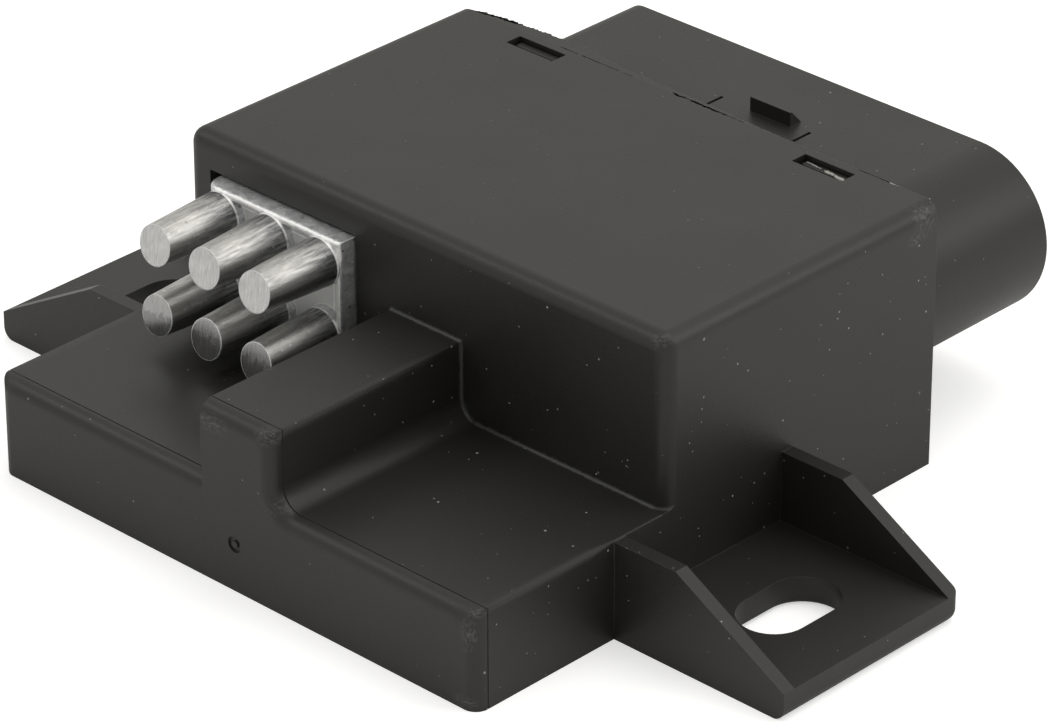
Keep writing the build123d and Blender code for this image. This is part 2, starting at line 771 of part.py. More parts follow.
chip("microcontroller", controller_size, controller_place, controller_pitch, controller_lead_count, True)
chip("gate_driver", driver_size, driver_place, driver_pitch, driver_lead_count, False)
chip("voltage_regulator", regulator_size, regulator_place, regulator_pitch, regulator_lead_count, False)
chip("suppressor_diode", diode_size, diode_place, diode_pitch, diode_lead_count, False)
blocks("ceramic_capacitors", ceramic_size, ceramic_place, ceramic_pitch, ceramic_count)
blocks("chip_resistors", resistor_size, resistor_place, resistor_pitch, resistor_count)

with BuildPart() as crystal:
    with Locations((*crystal_place, board_top_z + crystal_size[2] / 2)):
        Box(*crystal_size)
    fillet(edges().filter_by(Axis.Z), crystal_end_radius)
    chamfer(faces().sort_by(Axis.Z)[-1].edges(), crystal_bevel)
save("crystal", crystal)

with BuildPart() as shunt_resistor:
    with BuildSketch(facing_front(shunt_y - shunt_width / 2)):
        with BuildLine():
            low_z = board_top_z + shunt_sheet / 2
            high_z = board_top_z + shunt_rise - shunt_sheet / 2
            strap = Polyline(
                (shunt_x - shunt_length / 2, low_z),
                (shunt_x - shunt_length / 2 + shunt_foot, low_z),
                (shunt_x - shunt_length / 2 + shunt_foot + shunt_slope, high_z),
                (shunt_x + shunt_length / 2 - shunt_foot - shunt_slope, high_z),
                (shunt_x + shunt_length / 2 - shunt_foot, low_z),
                (shunt_x + shunt_length / 2, low_z),
            )
        trace(strap, line_width=shunt_sheet)
    extrude(amount=-shunt_width)
save("shunt_resistor", shunt_resistor)
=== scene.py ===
import random

import bpy
from mathutils import Matrix, Vector


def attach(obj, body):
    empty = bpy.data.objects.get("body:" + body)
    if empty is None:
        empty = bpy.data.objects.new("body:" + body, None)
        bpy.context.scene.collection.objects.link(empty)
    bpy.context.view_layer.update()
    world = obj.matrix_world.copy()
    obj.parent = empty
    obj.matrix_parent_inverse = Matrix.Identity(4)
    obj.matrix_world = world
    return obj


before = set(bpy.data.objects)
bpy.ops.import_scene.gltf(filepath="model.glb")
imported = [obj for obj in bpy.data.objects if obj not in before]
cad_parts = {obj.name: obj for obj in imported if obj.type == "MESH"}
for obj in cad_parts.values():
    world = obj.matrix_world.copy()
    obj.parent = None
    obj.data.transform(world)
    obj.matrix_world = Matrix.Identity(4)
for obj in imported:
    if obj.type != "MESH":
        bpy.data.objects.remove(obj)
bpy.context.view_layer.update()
mm = 0.001  # the part's own lengths are written in millimetres; floor, lamps and camera are in metres


# Node helpers

def feed(tree, socket, value):
    # value is what the socket is set to, or the socket that feeds it
    if isinstance(value, bpy.types.NodeSocket):
        tree.links.new(value, socket)
    else:
        socket.default_value = value


def addNode(tree, kind, inputs=None, **settings):
    # inputs maps a socket's name or number to its value or to the socket that feeds it
    node = tree.nodes.new(kind)
    for name, value in settings.items():
        setattr(node, name, value)
    for name, value in (inputs or {}).items():
        feed(tree, node.inputs[name], value)
    return node


def doMath(tree, operation, *values, clamp=False):
    node = addNode(tree, "ShaderNodeMath", dict(enumerate(values)), operation=operation, use_clamp=clamp)
    return node.outputs["Value"]


def doVector(tree, operation, *values):
    # gives a number where the operation makes one, and a vector otherwise
    node = addNode(tree, "ShaderNodeVectorMath", dict(enumerate(values)), operation=operation)
    return node.outputs["Value" if operation in ("DOT_PRODUCT", "LENGTH") else "Vector"]


def scaleVector(tree, vector, factor):
    inputs = {0: vector, "Scale": factor}
    return addNode(tree, "ShaderNodeVectorMath", inputs, operation="SCALE").outputs["Vector"]


def remap(tree, value, low, high, newLow=0.0, newHigh=1.0):
    inputs = {"Value": value, "From Min": low, "From Max": high, "To Min": newLow, "To Max": newHigh}
    return addNode(tree, "ShaderNodeMapRange", inputs).outputs["Result"]


def mixNumbers(tree, mask, first, second):
    # the first where the mask is 0, the second where it is 1
    return remap(tree, mask, 0.0, 1.0, first, second)


def mixColours(tree, mask, first, second):
    node = addNode(tree, "ShaderNodeMix", data_type="RGBA")
    sockets = {socket.identifier: socket for socket in node.inputs}
    for name, value in {"Factor_Float": mask, "A_Color": first, "B_Color": second}.items():
        feed(tree, sockets[name], value)
    return next(socket for socket in node.outputs if socket.identifier == "Result_Color")


def tint(tree, colour, mask, strength, tone):
    return mixColours(tree, doMath(tree, "MULTIPLY", mask, strength), colour, tone)


def strongest(tree, masks):
    found = masks[0]
    for mask in masks[1:]:
        found = doMath(tree, "MAXIMUM", found, mask)
    return found


def grey(level):
    return (level, level, level, 1.0)


def placeInMillimetres(tree):
    return scaleVector(tree, addNode(tree, "ShaderNodeTexCoord").outputs["Object"], 1.0 / mm)


def splitPlace(tree):
    return addNode(tree, "ShaderNodeSeparateXYZ", {0: placeInMillimetres(tree)}).outputs


def addNoise(tree, place, settings):
    # settings are the noise's Scale, Detail and Roughness
    return addNode(tree, "ShaderNodeTexNoise", {"Vector": place, **settings}).outputs


def newGroup(name, inputs, outputs):
    # inputs are (name, socket type, default), outputs are (name, socket type)
    tree = bpy.data.node_groups.new(name, "ShaderNodeTree")
    for label, kind, default in inputs:
        socket = tree.interface.new_socket(label, in_out="INPUT", socket_type=kind)
        socket.default_value = default
    for label, kind in outputs:
        tree.interface.new_socket(label, in_out="OUTPUT", socket_type=kind)
    given, out = tree.nodes.new("NodeGroupInput"), tree.nodes.new("NodeGroupOutput")
    return tree, given.outputs, out.inputs


def placeGroup(tree, group, inputs):
    return addNode(tree, "ShaderNodeGroup", inputs, node_tree=group).outputs


def placeRows(tree, group, names, rows):
    # one group for each row of input values, and the strongest of their masks
    return strongest(tree, [placeGroup(tree, group, dict(zip(names, row)))["Mask"] for row in rows])


# Shared effects. A pair of noise levels says where an effect starts and where it is full

mouldGrainLook = {
    "fine": {"Detail": 3.0, "Roughness": 0.6},
    "wide": {"Scale": 0.09, "Detail": 2.0},
    "fineShare": 0.6,  # of the shade
    "wideShare": 0.4,
}


def makeMouldGrain(look):
    # fine moulded or cast grain: a height in millimetres, and a shade from 0 to 1
    tree, given, out = newGroup(
        "mouldGrain",
        [("Scale", "NodeSocketFloat", 6.0), ("Depth", "NodeSocketFloat", 0.01)],
        [("Height", "NodeSocketFloat"), ("Shade", "NodeSocketFloat")],
    )
    place = placeInMillimetres(tree)
    fine = addNoise(tree, place, {"Scale": given["Scale"], **look["fine"]})["Fac"]
    wide = addNoise(tree, place, look["wide"])["Fac"]
    feed(tree, out["Height"], doMath(tree, "MULTIPLY", fine, given["Depth"]))
    feed(tree, out["Shade"], doMath(tree, "ADD", doMath(tree, "MULTIPLY", fine, look["fineShare"]),
                                    doMath(tree, "MULTIPLY", wide, look["wideShare"])))
    return tree


speckNames = ("Spacing", "Size", "Share")
dustSpecksLook = {
    "bends": {"Scale": 5.0, "Detail": 1.0},
    "bendReach": 0.12,  # how far a speck's outline is bent
    "sizes": (0.35, 1.4),  # smallest and largest speck, in shares of Size
    "strengths": (0.25, 1.0),  # faintest and plainest speck
}


def makeDustSpecks(look):
    # scattered specks of mixed sizes and strengths
    tree, given, out = newGroup(
        "dustSpecks",
        [("Spacing", "NodeSocketFloat", 2.0), ("Size", "NodeSocketFloat", 0.06), ("Share", "NodeSocketFloat", 0.5)],
        [("Mask", "NodeSocketFloat")],
    )
    place = placeInMillimetres(tree)
    bend = scaleVector(tree, addNoise(tree, place, look["bends"])["Color"], look["bendReach"])
    cells = addNode(tree, "ShaderNodeTexVoronoi", {
        "Vector": doVector(tree, "ADD", place, bend),
        "Scale": doMath(tree, "DIVIDE", 1.0, given["Spacing"]),
        "Randomness": 1.0,
    }).outputs
    reach = doMath(tree, "MULTIPLY", cells["Distance"], given["Spacing"])
    chance = addNode(tree, "ShaderNodeSeparateColor", {0: cells["Color"]}).outputs
    radius = doMath(tree, "MULTIPLY", given["Size"], mixNumbers(tree, chance["Green"], *look["sizes"]))
    inside = doMath(tree, "LESS_THAN", reach, radius)
    chosen = doMath(tree, "LESS_THAN", chance["Red"], given["Share"])
    strength = mixNumbers(tree, chance["Blue"], *look["strengths"])
    feed(tree, out["Mask"], doMath(tree, "MULTIPLY", doMath(tree, "MULTIPLY", inside, chosen), strength))
    return tree


scuffNames = ("Centre", "Stretch", "Radius", "Amount")
scuffLook = {
    "fullWithin": 0.2,  # share of the radius inside which the marks are at full strength
    "marks": {"Scale": 3.0, "Detail": 4.0, "Roughness": 0.7},
    "markLevels": (0.46, 0.62),
}


def makeScuff(look):
    # a patch of fine pale rub marks round one point
    tree, given, out = newGroup(
        "scuff",
        [("Centre", "NodeSocketVector", (0.0, 0.0, 0.0)), ("Stretch", "NodeSocketVector", (1.0, 1.0, 1.0)),
         ("Radius", "NodeSocketFloat", 2.0), ("Amount", "NodeSocketFloat", 0.5)],
        [("Mask", "NodeSocketFloat")],
    )
    away = doVector(tree, "SUBTRACT", placeInMillimetres(tree), given["Centre"])
    stretched = doVector(tree, "DIVIDE", away, given["Stretch"])
    share = doMath(tree, "DIVIDE", doVector(tree, "LENGTH", stretched), given["Radius"])
    falloff = remap(tree, share, look["fullWithin"], 1.0, 1.0, 0.0)
    marks = remap(tree, addNoise(tree, stretched, look["marks"])["Fac"], *look["markLevels"])
    feed(tree, out["Mask"], doMath(tree, "MULTIPLY", doMath(tree, "MULTIPLY", falloff, marks), given["Amount"]))
    return tree


edgeWearAndHighlightLook = {
    "samples": 6,
    "turns": (0.99, 0.8),  # dot product of both normals where the rub starts, and where it is full
    "patches": {"Scale": 0.8, "Detail": 3.0},
    "patchLevels": (0.35, 0.65),
}


def makeEdgeWearAndHighlight(look):
    # finds the edges by comparing the true normal with a rounded one, which it also puts out; its mask marks worn
    # edges on the plastic and painted highlights on the aluminium
    tree, given, out = newGroup(
        "edgeWearAndHighlight",
        [("Radius", "NodeSocketFloat", 0.3), ("Amount", "NodeSocketFloat", 1.0), ("Even", "NodeSocketFloat", 0.0)],
        [("Mask", "NodeSocketFloat"), ("Normal", "NodeSocketVector")],
    )
    radius = doMath(tree, "MULTIPLY", given["Radius"], mm)
    rounded = addNode(tree, "ShaderNodeBevel", {"Radius": radius}, samples=look["samples"]).outputs["Normal"]
    true = addNode(tree, "ShaderNodeNewGeometry").outputs["Normal"]
    turned = remap(tree, doVector(tree, "DOT_PRODUCT", rounded, true), *look["turns"])
    patchy = addNoise(tree, placeInMillimetres(tree), look["patches"])["Fac"]
    kept = doMath(tree, "MAXIMUM", remap(tree, patchy, *look["patchLevels"]), given["Even"])
    feed(tree, out["Mask"], doMath(tree, "MULTIPLY", doMath(tree, "MULTIPLY", turned, kept), given["Amount"]))
    feed(tree, out["Normal"], rounded)
    return tree


toolMarksLook = {"streaks": {"Detail": 4.0, "Roughness": 0.65}, "streakLevels": (0.3, 0.7)}


def makeToolMarks(look):
    # streaks along the direction in which Squeeze is small: drag lines on a cast pin, cut lines on its end
    tree, given, out = newGroup(
        "toolMarks",
        [("Squeeze", "NodeSocketVector", (1.0, 0.1, 1.0)), ("Scale", "NodeSocketFloat", 4.0)],
        [("Shade", "NodeSocketFloat")],
    )
    squeezed = doVector(tree, "MULTIPLY", placeInMillimetres(tree), given["Squeeze"])
    streaks = addNoise(tree, squeezed, {"Scale": given["Scale"], **look["streaks"]})["Fac"]
    feed(tree, out["Shade"], remap(tree, streaks, *look["streakLevels"]))
    return tree


strokeNames = ("From", "To", "Width", "Wobble", "Whole")
strokeLook = {
    "ragged": {"Scale": 1.6, "Detail": 3.0},
    "raggedLevels": (0.35, 0.6),
    "thinnest": 0.4,  # share of the width
    "fade": (0.35, 0.6),  # shares of the width between which the line fades out
    "dashes": {"Scale": 0.9, "Detail": 2.0},
    "brokenLevel": 0.4,  # noise level under which a line with Whole at 0 still shows
}


def makeStroke(look):
    # a thin ragged line from one point to another, whole or broken into dashes
    tree, given, out = newGroup(
        "stroke",
        [("From", "NodeSocketVector", (0.0, 0.0, 0.0)), ("To", "NodeSocketVector", (1.0, 0.0, 0.0)),
         ("Width", "NodeSocketFloat", 0.1), ("Wobble", "NodeSocketFloat", 0.1), ("Whole", "NodeSocketFloat", 1.0)],
        [("Mask", "NodeSocketFloat")],
    )
    place = placeInMillimetres(tree)
    ragged = addNoise(tree, place, look["ragged"])
    swing = doVector(tree, "SUBTRACT", ragged["Color"], (0.5, 0.5, 0.5))  # to both sides alike
    moved = doVector(tree, "ADD", place, scaleVector(tree, swing, given["Wobble"]))
    start = doVector(tree, "SUBTRACT", moved, given["From"])
    along = doVector(tree, "SUBTRACT", given["To"], given["From"])
    share = doMath(tree, "DIVIDE", doVector(tree, "DOT_PRODUCT", start, along),
                   doVector(tree, "DOT_PRODUCT", along, along), clamp=True)
    away = doVector(tree, "SUBTRACT", start, scaleVector(tree, along, share))
    thinned = remap(tree, ragged["Fac"], *look["raggedLevels"], look["thinnest"], 1.0)
    width = doMath(tree, "MULTIPLY", given["Width"], thinned)
    distance = doMath(tree, "DIVIDE", doVector(tree, "LENGTH", away), width)
    inside = remap(tree, distance, *look["fade"], 1.0, 0.0)
    dashes = addNoise(tree, place, look["dashes"])["Fac"]
    kept = doMath(tree, "LESS_THAN", dashes, mixNumbers(tree, given["Whole"], look["brokenLevel"], 1.0))
    feed(tree, out["Mask"], doMath(tree, "MULTIPLY", inside, kept))
    return tree


mouldGrain = makeMouldGrain(mouldGrainLook)
dustSpecks = makeDustSpecks(dustSpecksLook)
scuff = makeScuff(scuffLook)
edgeWearAndHighlight = makeEdgeWearAndHighlight(edgeWearAndHighlightLook)
toolMarks = makeToolMarks(toolMarksLook)
stroke = makeStroke(strokeLook)
print("shared effects built")


# Materials

def startMaterial(name, constants=None):
    # constants are set on the shader's own sockets, because they are the same all over the surface
    material = bpy.data.materials.new(name)
    material.use_nodes = True
    tree = material.node_tree
    shader = tree.nodes["Principled BSDF"].inputs
    for label, value in (constants or {}).items():
        shader[label].default_value = value
    return material, tree, shader


def bumpFrom(tree, height, normal):
    # height is in millimetres
    return addNode(tree, "ShaderNodeBump", {"Height": height, "Distance": mm, "Normal": normal}).outputs["Normal"]


plasticLook = {
    "colour": (0.0110, 0.0104, 0.0090, 1.0),
    "secondTone": 2.0,  # times the colour
    "secondShare": 0.4,  # how far the second tone goes in where the grain is palest
    "wearAndSeamHighlight": (0.10, 0.10, 0.095, 1.0),
    "dust": (0.36, 0.35, 0.33, 1.0),
    "gap": (0.0006, 0.0006, 0.0006, 1.0),
    "specular": 0.5,
    "shades": (0.3, 0.7),  # shades of the grain that get the first and the last roughness
    "roughness": (0.40, 0.50),
    "wearAndSeamHighlightRoughness": 0.15,  # added where it is worn and on the painted seam highlight
    "grain": {"Scale": 5.0, "Depth": 0.02},
    "edgeRadius": 0.08,
    "edgeAmount": 0.3,
    # edges that are sharp in the solids and look round: the base's left and right one and the hump's right one.
    # low and high are x and z of a box round the edge, which ends at y end; the radius goes from the first to the
    # second of radii between the two values of y in fade
    "softEdges": (
        {"low": (-30.62, 8.0), "high": (-28.6, 10.05), "fade": (-14.3, -11.4), "radii": (1.4, 0.3), "end": -5.2},
        {"low": (27.5, 8.0), "high": (30.02, 10.05), "fade": (-14.3, -11.4), "radii": (1.4, 0.3), "end": -5.2},
        {"low": (3.4, 15.8), "high": (5.32, 17.75), "fade": (-10.0, -7.5), "radii": (1.4, 0.4), "end": -5.2},
    ),
    # spacing, size and share of each kind of dust speck
    "specks": (
        (2.7, 0.11, 0.35),
        (1.2, 0.07, 0.55),
    ),
    "cleanHeights": (25.9, 26.0),  # the specks grow fainter between these heights, as the top is cleaner
    "cleanShare": 0.35,  # what is left of them above
    # centre, stretch, radius and amount of each patch of rub marks
    "scuffs": (
        ((-2.1, -28.4, 16.1), (1.6, 1.0, 0.8), 1.5, 0.7),
        ((4.7, -28.2, 17.2), (1.2, 1.0, 0.7), 1.6, 0.9),
        ((5.2, -27.5, 10.3), (1.0, 1.0, 0.8), 1.5, 0.6),
        ((29.0, -28.3, 7.6), (0.8, 0.8, 1.6), 1.3, 0.9),
        ((29.6, -28.1, 9.7), (0.9, 0.9, 0.5), 1.3, 0.9),
        ((28.6, -28.3, 0.8), (1.2, 1.0, 0.5), 1.4, 0.8),
        ((29.3, -4.9, 26.7), (1.3, 0.9, 0.6), 1.5, 0.9),
        ((29.6, 29.4, 26.0), (0.6, 1.2, 1.6), 1.7, 0.9),
        ((30.0, 28.0, 24.4), (0.5, 1.0, 0.8), 1.2, 0.8),
        ((-30.2, -28.2, 5.0), (0.6, 0.6, 3.2), 1.6, 0.5),
    ),
    # start, end, width, wobble and wholeness of each painted shadow line along the rear edge of the top, where the
    # gap under the lip lies in shade
    "gaps": (
        ((-28.3, 31.2, 27.0), (-26.2, 31.6, 27.0), 0.50, 0.30, 1.0),
        ((-26.2, 31.6, 27.0), (-23.0, 32.1, 27.0), 0.65, 0.35, 1.0),
        ((-23.0, 32.15, 27.0), (-20.0, 32.4, 27.0), 0.25, 0.25, 0.5),
        ((-16.6, 31.05, 27.0), (-7.4, 31.05, 27.0), 0.13, 0.15, 0.35),
        ((-2.2, 31.1, 27.0), (4.3, 31.05, 27.0), 0.46, 0.35, 1.0),
        ((4.3, 31.05, 27.0), (6.6, 31.05, 27.0), 0.14, 0.1, 1.0),
        ((20.6, 31.1, 27.0), (24.2, 31.05, 27.0), 0.2, 0.05, 1.0),
    ),
    # the same for the line where the front base meets the box: partly worn, partly a painted highlight of the fillet
    # there
    "seamWearAndHighlightLines": (
        ((-3.5, -5.03, 17.8), (5.1, -5.03, 17.8), 0.50, 0.04, 1.0),
        ((5.1, -5.03, 17.8), (5.4, -5.03, 17.5), 0.50, 0.04, 1.0),
        ((5.4, -5.03, 17.5), (5.4, -5.03, 12.1), 0.45, 0.04, 1.0),
        ((5.4, -5.03, 12.1), (6.1, -5.03, 10.7), 0.45, 0.04, 1.0),
        ((6.1, -5.03, 10.7), (7.4, -5.03, 10.1), 0.45, 0.04, 1.0),
        ((7.4, -5.03, 10.1), (28.6, -5.03, 10.1), 0.50, 0.04, 1.0),
    ),
    "seamWearAndHighlight": 0.30,  # how plain that worn and painted highlight line is
    # the same for each pale line: a fibre or a burr
    "pale": (
        ((24.2, 31.05, 27.0), (29.2, 30.9, 26.8), 0.12, 0.1, 0.6),
        ((30.0, -6.6, 15.6), (30.0, -5.4, 14.9), 0.09, 0.6, 1.0),
        ((24.6, -4.9, 13.3), (25.8, -4.9, 12.7), 0.08, 0.5, 1.0),
        ((15.6, 29.75, 26.5), (18.2, 29.5, 26.5), 0.20, 0.4, 1.0),
        ((18.2, 29.5, 26.5), (20.3, 29.2, 26.5), 0.55, 0.6, 1.0),
    ),
}


def softenEdges(tree, at, look):
    # the radius to which the edges look rounded, and how much they are rubbed, which the soft ones aren't
    radius, amount = look["edgeRadius"], look["edgeAmount"]
    for edge in look["softEdges"]:
        inside = doMath(tree, "LESS_THAN", at["Y"], edge["end"])
        for axis, low, high in zip("XZ", edge["low"], edge["high"]):
            within = doMath(tree, "MULTIPLY", doMath(tree, "GREATER_THAN", at[axis], low),
                            doMath(tree, "LESS_THAN", at[axis], high))
            inside = doMath(tree, "MULTIPLY", inside, within)
        radius = mixNumbers(tree, inside, radius, remap(tree, at["Y"], *edge["fade"], *edge["radii"]))
        amount = mixNumbers(tree, inside, amount, 0.0)
    return radius, amount


def makeBlackPlastic(look):
    material, tree, shader = startMaterial("blackPlastic", {"Specular IOR Level": look["specular"]})
    at = splitPlace(tree)
    grain = placeGroup(tree, mouldGrain, look["grain"])
    radius, amount = softenEdges(tree, at, look)
    roundedEdges = placeGroup(tree, edgeWearAndHighlight, {"Radius": radius, "Amount": amount})
    # the seam line is partly worn and partly a painted highlight
    seamWearAndHighlight = doMath(tree, "MULTIPLY", placeRows(tree, stroke, strokeNames, look["seamWearAndHighlightLines"]), look["seamWearAndHighlight"])
    scuffs = placeRows(tree, scuff, scuffNames, look["scuffs"])
    wearAndSeamHighlight = strongest(tree, [roundedEdges["Mask"], seamWearAndHighlight, scuffs])
    specks = placeRows(tree, dustSpecks, speckNames, look["specks"])
    specks = doMath(tree, "MULTIPLY", specks, remap(tree, at["Z"], *look["cleanHeights"], 1.0, look["cleanShare"]))
    dusty = strongest(tree, [specks, placeRows(tree, stroke, strokeNames, look["pale"])])
    # painted shadow in the gaps along the rear edge of the top
    gap = placeRows(tree, stroke, strokeNames, look["gaps"])

    secondColour = tuple(look["secondTone"] * v for v in look["colour"][:3]) + (1.0,)
    colour = tint(tree, look["colour"], grain["Shade"], look["secondShare"], secondColour)
    colour = mixColours(tree, wearAndSeamHighlight, colour, look["wearAndSeamHighlight"])
    colour = mixColours(tree, dusty, colour, look["dust"])
    feed(tree, shader["Base Color"], mixColours(tree, gap, colour, look["gap"]))
    rough = remap(tree, grain["Shade"], *look["shades"], *look["roughness"])
    rough = doMath(tree, "ADD", rough, doMath(tree, "MULTIPLY", wearAndSeamHighlight, look["wearAndSeamHighlightRoughness"]))
    feed(tree, shader["Roughness"], doMath(tree, "MAXIMUM", rough, gap))
    feed(tree, shader["Metallic"], gap)  # as a rough and nearly black metal the painted gap shadow mirrors nothing
    feed(tree, shader["Normal"], bumpFrom(tree, grain["Height"], roundedEdges["Normal"]))
    return material


aluminiumLook = {
    "front": (0.0, -1.0, 0.0),
    "frontness": 0.9,  # dot product with front above which a face counts as facing it
    "pinsStart": -6.75,  # y in front of which the metal is a pin
    "drag": {"Squeeze": (1.0, 0.12, 1.0), "Scale": 3.2},
    "cuts": {"Squeeze": (1.0, 1.0, 0.05), "Scale": 5.0},
    "blotches": {"Squeeze": (1.0, 1.0, 1.0), "Scale": 1.4},
    "grain": {"Scale": 3.5, "Depth": 0.02},
    "flecks": {"Spacing": 0.6, "Size": 0.13, "Share": 0.5},
    "pits": {"Spacing": 0.75, "Size": 0.16, "Share": 0.5},
    "fleck": (0.90, 0.91, 0.92, 1.0),
    "pit": (0.12, 0.125, 0.135, 1.0),

    "pin": (0.36, 0.357, 0.35, 1.0),
    "streak": (0.62, 0.615, 0.595, 1.0),
    "pinMetal": 1.0,
    "pinRoughness": (0.50, 0.34),
    "pinFlecks": 0.35,  # how plain the flecks and pits are on a pin
    "pinPits": 0.35,
    "dragDepth": 0.012,
    # painted reflection: the pins darken towards their roots as if mirroring the dark box
    "paintedRootReflection": (0.10, 0.104, 0.115, 1.0),
    "paintedRootReflectionPlaces": (-11.5, -7.8),  # y where the painted reflection of the dark box at a pin's root starts, and where it is deepest
    "paintedRootReflectionDepth": 0.85,
    "paintedRootReflectionDrag": (0.2, 0.7, 1.0, 0.35),  # two shades of the drag lines, and the share of the depth at each

    "end": (0.42, 0.42, 0.42, 1.0),
    "endStreak": (0.64, 0.64, 0.63, 1.0),
    "endRoughness": (0.12, 0.22),
    "cutDepth": 0.003,
    "lowerRow": 17.0,  # the pin ends below this height get a painted reflection of the dark base, deepest on their foot
    "paintedEndReflection": (0.17, 0.17, 0.17, 1.0),
    "paintedEndReflectionBelow": 13.7,
    "paintedEndReflectionFade": 0.2,
    "paintedEndReflectionWobble": 1.2,
    "paintedEndReflectionDepths": (0.75, 0.4),  # below and above that line

    "plate": (0.52, 0.53, 0.55, 1.0),
    "blotch": (0.82, 0.83, 0.84, 1.0),
    "plateMetal": 0.7,
    "plateRoughness": (0.34, 0.54),
    "plateFlecks": 0.9,
    "platePits": 0.8,
    "pocket": (0.74, 0.74, 0.73, 1.0),
    "pocketMetal": 0.5,
    "pocketRoughness": 0.62,

    # painted highlight, partly worn edges: the rounded edges, root rings and lines below are white, barely metal and
    # smooth
    "edge": (1.0, 1.0, 1.0, 1.0),
    "edgeMetal": 0.1,
    "edgeRoughness": 0.3,
    "edgeWearAndHighlight": {"Radius": 0.2, "Amount": 2.0, "Even": 0.6},
    "paintedRootRing": -6.9,  # y of the painted highlight ring round each pin's root
    "paintedRootRingFade": (0.08, 0.16),
    "paintedRootRingBlotches": (0.1, 0.5, 0.4, 1.0),  # two shades of the blotches, and the strength of the painted highlight ring at each
    # start, end, width, wobble and wholeness of each painted highlight line along an edge
    "wearAndPaintedHighlight": (
        ((-25.7, -6.65, 23.2), (-8.4, -6.65, 23.2), 0.46, 0.3, 1.0),
        ((-8.35, -6.65, 23.2), (-8.35, -6.65, 20.8), 0.60, 0.5, 1.0),
        ((-8.35, -6.65, 20.8), (-8.35, -6.65, 11.2), 0.18, 0.12, 0.6),
        ((-22.4, -6.0, 22.05), (-19.2, -6.0, 22.05), 0.24, 0.08, 1.0),
        ((-19.2, -6.0, 22.05), (-20.1, -6.0, 20.9), 0.20, 0.08, 1.0),
        ((-15.8, -6.0, 21.95), (-12.7, -6.0, 21.8), 0.24, 0.08, 1.0),
        ((-12.7, -6.0, 21.8), (-13.5, -6.0, 20.8), 0.20, 0.08, 1.0),
        ((-9.7, -6.0, 18.4), (-9.7, -6.0, 15.1), 0.24, 0.08, 1.0),
    ),
}


